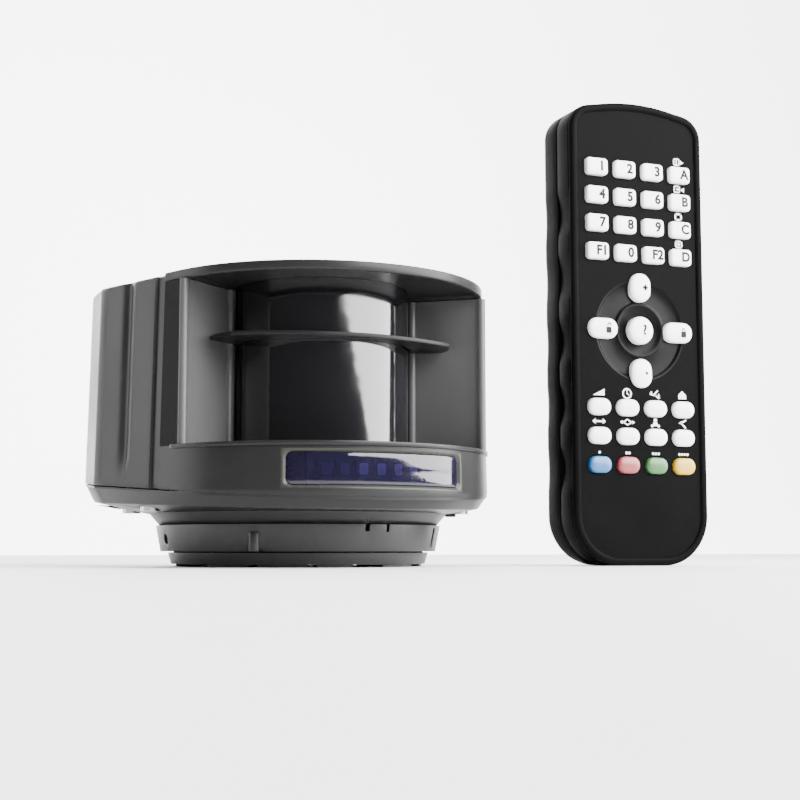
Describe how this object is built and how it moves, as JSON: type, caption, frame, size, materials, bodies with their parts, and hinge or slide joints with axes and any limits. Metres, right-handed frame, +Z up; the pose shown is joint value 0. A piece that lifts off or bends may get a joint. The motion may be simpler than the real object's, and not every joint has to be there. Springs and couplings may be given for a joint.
{
  "type": "scanning presence sensor with handset",
  "caption": "Door and gate scanning sensor in a black housing with a recessed curved window and violet lamp strip, on a swivel-and-tilt bracket, with a black keyed infrared handset.",
  "frame": {"origin": "centre of the bracket's foot, on the mounting plane", "axes": "+Z up out of the bracket, -Y the way the scanning window faces, +X towards the handset"},
  "size_m": [0.1917, 0.1138, 0.15],
  "materials": {
    "housing_plastic": "satin black moulded plastic",
    "bracket_plastic": "satin black glass-filled plastic",
    "fin_plastic": "satin black",
    "window_plastic": "polished infrared-transparent black",
    "lamp_lens": "tinted violet translucent",
    "circuit_board": "solder mask",
    "motor_metal": "turned",
    "rotor_metal": "turned",
    "mirror_face": "polished",
    "optics_block": "anodised black",
    "gland_plastic": "satin",
    "screw_steel": "zinc plated",
    "handset_plastic": "fine-grained black",
    "mat_rubber": "silicone",
    "cell_jacket": "printed sleeve",
    "contact_metal": "nickel plated",
    "key_white": "gloss white",
    "key_blue": "gloss blue",
    "key_red": "gloss red",
    "key_green": "gloss green",
    "key_yellow": "gloss yellow"
  },
  "bodies": {
    "bracket": {"mounting_base": "bracket_plastic"},
    "collar": {"swivel_collar": "bracket_plastic", "lock_screws": "screw_steel"},
    "housing": {"tilt_dome": "bracket_plastic", "lower_case": "housing_plastic", "front_case": "housing_plastic", "rear_case": "housing_plastic", "top_cover": "housing_plastic", "scan_window": "window_plastic", "window_fin": "fin_plastic", "lamp_window": "lamp_lens", "lamp_board": "circuit_board", "main_board": "circuit_board", "motor_stator": "motor_metal", "laser_module": "optics_block", "cable_gland": "gland_plastic", "case_screws": "screw_steel"},
    "scanner": {"scan_rotor": "rotor_metal", "scan_mirror": "mirror_face"},
    "handset": {"handset_front": "handset_plastic", "handset_back": "handset_plastic", "key_mat": "mat_rubber", "handset_board": "circuit_board", "battery_cells": "cell_jacket", "battery_contacts": "contact_metal", "handset_screws": "screw_steel"},
    "door": {"battery_door": "handset_plastic"},
    "key_1_cap": {"key_1": "key_white"},
    "key_2_cap": {"key_2": "key_white"},
    "key_3_cap": {"key_3": "key_white"},
    "key_a_cap": {"key_a": "key_white"},
    "key_4_cap": {"key_4": "key_white"},
    "key_5_cap": {"key_5": "key_white"},
    "key_6_cap": {"key_6": "key_white"},
    "key_b_cap": {"key_b": "key_white"},
    "key_7_cap": {"key_7": "key_white"},
    "key_8_cap": {"key_8": "key_white"},
    "key_9_cap": {"key_9": "key_white"},
    "key_c_cap": {"key_c": "key_white"},
    "key_f1_cap": {"key_f1": "key_white"},
    "key_0_cap": {"key_0": "key_white"},
    "key_f2_cap": {"key_f2": "key_white"},
    "key_d_cap": {"key_d": "key_white"},
    "key_plus_cap": {"key_plus": "key_white"},
    "key_minus_cap": {"key_minus": "key_white"},
    "key_unlock_cap": {"key_unlock": "key_white"},
    "key_lock_cap": {"key_lock": "key_white"},
    "key_query_cap": {"key_query": "key_white"},
    "key_wedge_cap": {"key_wedge": "key_white"},
    "key_clock_cap": {"key_clock": "key_white"},
    "key_relay_cap": {"key_relay": "key_white"},
    "key_zone_cap": {"key_zone": "key_white"},
    "key_width_cap": {"key_width": "key_white"},
    "key_frame_cap": {"key_frame": "key_white"},
    "key_person_cap": {"key_person": "key_white"},
    "key_return_cap": {"key_return": "key_white"},
    "key_blue_cap": {"key_blue": "key_blue"},
    "key_red_cap": {"key_red": "key_red"},
    "key_green_cap": {"key_green": "key_green"},
    "key_yellow_cap": {"key_yellow": "key_yellow"}
  },
  "joints": [
    {"name": "bracket_swivel", "type": "hinge", "parent": "bracket", "child": "collar", "pos_m": [0, 0, 0.0055], "axis": [0, 0, 1], "range_deg": [-5, 5]},
    {"name": "housing_tilt", "type": "hinge", "parent": "collar", "child": "housing", "pos_m": [0, 0, 0.053], "axis": [1, 0, 0], "range_deg": [-3, 3]},
    {"name": "mirror_spin", "type": "hinge", "parent": "housing", "child": "scanner", "pos_m": [0, -0.0198, 0.03], "axis": [0, 0, 1], "continuous": true},
    {"name": "handset_lift", "type": "slide", "parent": "bracket", "child": "handset", "axis": [0, 0, 1], "range_m": [0, 0.06]},
    {"name": "door_slide", "type": "slide", "parent": "handset", "child": "door", "axis": [0, 0, -1], "range_m": [0, 0.011]},
    {"name": "press_1", "type": "slide", "parent": "handset", "child": "key_1_cap", "axis": [0, 1, 0], "range_m": [0, 0.0008], "stiffness_N_per_m": 800, "springref_m": -0.0005},
    {"name": "press_2", "type": "slide", "parent": "handset", "child": "key_2_cap", "axis": [0, 1, 0], "range_m": [0, 0.0008], "stiffness_N_per_m": 800, "springref_m": -0.0005},
    {"name": "press_3", "type": "slide", "parent": "handset", "child": "key_3_cap", "axis": [0, 1, 0], "range_m": [0, 0.0008], "stiffness_N_per_m": 800, "springref_m": -0.0005},
    {"name": "press_a", "type": "slide", "parent": "handset", "child": "key_a_cap", "axis": [0, 1, 0], "range_m": [0, 0.0008], "stiffness_N_per_m": 800, "springref_m": -0.0005},
    {"name": "press_4", "type": "slide", "parent": "handset", "child": "key_4_cap", "axis": [0, 1, 0], "range_m": [0, 0.0008], "stiffness_N_per_m": 800, "springref_m": -0.0005},
    {"name": "press_5", "type": "slide", "parent": "handset", "child": "key_5_cap", "axis": [0, 1, 0], "range_m": [0, 0.0008], "stiffness_N_per_m": 800, "springref_m": -0.0005},
    {"name": "press_6", "type": "slide", "parent": "handset", "child": "key_6_cap", "axis": [0, 1, 0], "range_m": [0, 0.0008], "stiffness_N_per_m": 800, "springref_m": -0.0005},
    {"name": "press_b", "type": "slide", "parent": "handset", "child": "key_b_cap", "axis": [0, 1, 0], "range_m": [0, 0.0008], "stiffness_N_per_m": 800, "springref_m": -0.0005},
    {"name": "press_7", "type": "slide", "parent": "handset", "child": "key_7_cap", "axis": [0, 1, 0], "range_m": [0, 0.0008], "stiffness_N_per_m": 800, "springref_m": -0.0005},
    {"name": "press_8", "type": "slide", "parent": "handset", "child": "key_8_cap", "axis": [0, 1, 0], "range_m": [0, 0.0008], "stiffness_N_per_m": 800, "springref_m": -0.0005},
    {"name": "press_9", "type": "slide", "parent": "handset", "child": "key_9_cap", "axis": [0, 1, 0], "range_m": [0, 0.0008], "stiffness_N_per_m": 800, "springref_m": -0.0005},
    {"name": "press_c", "type": "slide", "parent": "handset", "child": "key_c_cap", "axis": [0, 1, 0], "range_m": [0, 0.0008], "stiffness_N_per_m": 800, "springref_m": -0.0005},
    {"name": "press_f1", "type": "slide", "parent": "handset", "child": "key_f1_cap", "axis": [0, 1, 0], "range_m": [0, 0.0008], "stiffness_N_per_m": 800, "springref_m": -0.0005},
    {"name": "press_0", "type": "slide", "parent": "handset", "child": "key_0_cap", "axis": [0, 1, 0], "range_m": [0, 0.0008], "stiffness_N_per_m": 800, "springref_m": -0.0005},
    {"name": "press_f2", "type": "slide", "parent": "handset", "child": "key_f2_cap", "axis": [0, 1, 0], "range_m": [0, 0.0008], "stiffness_N_per_m": 800, "springref_m": -0.0005},
    {"name": "press_d", "type": "slide", "parent": "handset", "child": "key_d_cap", "axis": [0, 1, 0], "range_m": [0, 0.0008], "stiffness_N_per_m": 800, "springref_m": -0.0005},
    {"name": "press_plus", "type": "slide", "parent": "handset", "child": "key_plus_cap", "axis": [0, 1, 0], "range_m": [0, 0.0008], "stiffness_N_per_m": 800, "springref_m": -0.0005},
    {"name": "press_minus", "type": "slide", "parent": "handset", "child": "key_minus_cap", "axis": [0, 1, 0], "range_m": [0, 0.0008], "stiffness_N_per_m": 800, "springref_m": -0.0005},
    {"name": "press_unlock", "type": "slide", "parent": "handset", "child": "key_unlock_cap", "axis": [0, 1, 0], "range_m": [0, 0.0008], "stiffness_N_per_m": 800, "springref_m": -0.0005},
    {"name": "press_lock", "type": "slide", "parent": "handset", "child": "key_lock_cap", "axis": [0, 1, 0], "range_m": [0, 0.0008], "stiffness_N_per_m": 800, "springref_m": -0.0005},
    {"name": "press_query", "type": "slide", "parent": "handset", "child": "key_query_cap", "axis": [0, 1, 0], "range_m": [0, 0.0008], "stiffness_N_per_m": 800, "springref_m": -0.0005},
    {"name": "press_wedge", "type": "slide", "parent": "handset", "child": "key_wedge_cap", "axis": [0, 1, 0], "range_m": [0, 0.0008], "stiffness_N_per_m": 800, "springref_m": -0.0005},
    {"name": "press_clock", "type": "slide", "parent": "handset", "child": "key_clock_cap", "axis": [0, 1, 0], "range_m": [0, 0.0008], "stiffness_N_per_m": 800, "springref_m": -0.0005},
    {"name": "press_relay", "type": "slide", "parent": "handset", "child": "key_relay_cap", "axis": [0, 1, 0], "range_m": [0, 0.0008], "stiffness_N_per_m": 800, "springref_m": -0.0005},
    {"name": "press_zone", "type": "slide", "parent": "handset", "child": "key_zone_cap", "axis": [0, 1, 0], "range_m": [0, 0.0008], "stiffness_N_per_m": 800, "springref_m": -0.0005},
    {"name": "press_width", "type": "slide", "parent": "handset", "child": "key_width_cap", "axis": [0, 1, 0], "range_m": [0, 0.0008], "stiffness_N_per_m": 800, "springref_m": -0.0005},
    {"name": "press_frame", "type": "slide", "parent": "handset", "child": "key_frame_cap", "axis": [0, 1, 0], "range_m": [0, 0.0008], "stiffness_N_per_m": 800, "springref_m": -0.0005},
    {"name": "press_person", "type": "slide", "parent": "handset", "child": "key_person_cap", "axis": [0, 1, 0], "range_m": [0, 0.0008], "stiffness_N_per_m": 800, "springref_m": -0.0005},
    {"name": "press_return", "type": "slide", "parent": "handset", "child": "key_return_cap", "axis": [0, 1, 0], "range_m": [0, 0.0008], "stiffness_N_per_m": 800, "springref_m": -0.0005},
    {"name": "press_blue", "type": "slide", "parent": "handset", "child": "key_blue_cap", "axis": [0, 1, 0], "range_m": [0, 0.0008], "stiffness_N_per_m": 800, "springref_m": -0.0005},
    {"name": "press_red", "type": "slide", "parent": "handset", "child": "key_red_cap", "axis": [0, 1, 0], "range_m": [0, 0.0008], "stiffness_N_per_m": 800, "springref_m": -0.0005},
    {"name": "press_green", "type": "slide", "parent": "handset", "child": "key_green_cap", "axis": [0, 1, 0], "range_m": [0, 0.0008], "stiffness_N_per_m": 800, "springref_m": -0.0005},
    {"name": "press_yellow", "type": "slide", "parent": "handset", "child": "key_yellow_cap", "axis": [0, 1, 0], "range_m": [0, 0.0008], "stiffness_N_per_m": 800, "springref_m": -0.0005}
  ]
}
